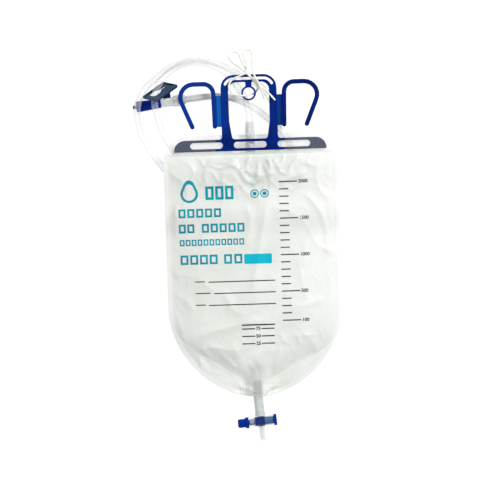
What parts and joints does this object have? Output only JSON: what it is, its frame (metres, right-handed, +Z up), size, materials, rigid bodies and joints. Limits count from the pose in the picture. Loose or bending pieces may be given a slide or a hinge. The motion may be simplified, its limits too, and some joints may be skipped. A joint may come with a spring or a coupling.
{
  "type": "urine drainage bag",
  "caption": "Bedside urine drainage bag of clear film with a moulded blue hanger and fold-out hooks, a coiled clear tube with slide clamp and capped connector, and a push-pull outlet valve.",
  "frame": {"origin": "middle of the base rectangle of the bag, hanger and outlet valve, on the surface it lies on, without the tube, what is on it, and the string", "axes": "+Z up out of the printed face as it lies on its back, +Y from the outlet valve towards the hanger, +X to the right seen from above"},
  "size_m": [0.2273, 0.4381, 0.0318],
  "materials": {
    "hanger_blue": "smooth injection-moulded blue plastic",
    "clamp_blue": "smooth moulded blue plastic",
    "cap_blue": "smooth moulded blue plastic",
    "port_blue": "dark blue moulded plug",
    "stem_blue": "smooth moulded blue plastic",
    "seal_black": "black rubber",
    "bag_film": "frosted translucent soft film",
    "soft_clear": "clear soft tubing",
    "hard_clear": "clear rigid plastic",
    "cotton": "off-white braided string"
  },
  "bodies": {
    "bag": {"hanger_frame": "hanger_blue", "front_sheet": "bag_film", "back_sheet": "bag_film", "inlet_sleeve": "soft_clear", "anti_reflux_valve": "bag_film", "drainage_tube": "soft_clear", "catheter_connector": "hard_clear", "sampling_port": "port_blue", "outlet_tube": "soft_clear", "valve_body": "hard_clear", "tie_cord": "cotton"},
    "left_hook": {"hook_left": "hanger_blue"},
    "right_hook": {"hook_right": "hanger_blue"},
    "clamp": {"slide_clamp": "clamp_blue"},
    "cap": {"connector_cap": "cap_blue"},
    "stem": {"valve_stem": "stem_blue", "stem_seal_left": "seal_black", "stem_seal_right": "seal_black"}
  },
  "joints": [
    {"name": "hook_left_fold", "type": "hinge", "parent": "bag", "child": "left_hook", "pos_m": [-0.0337, 0.16413, 0.0167], "axis": [0, 1, 0], "range_deg": [0, 100]},
    {"name": "hook_right_fold", "type": "hinge", "parent": "bag", "child": "right_hook", "pos_m": [0.0337, 0.16413, 0.0167], "axis": [0, -1, 0], "range_deg": [0, 100]},
    {"name": "valve_stem_slide", "type": "slide", "parent": "bag", "child": "stem", "axis": [0.9962, 0.0872, 0], "range_m": [0, 0.0053]},
    {"name": "connector_cap_pull", "type": "slide", "parent": "bag", "child": "cap", "axis": [-0.9925, -0.1219, 0], "range_m": [0, 0.028]},
    {"name": "clamp_slide", "type": "slide", "parent": "bag", "child": "clamp", "axis": [-0.7053, -0.5175, 0.4845], "range_m": [0, 0.012], "deforming": ["drainage_tube"]}
  ]
}
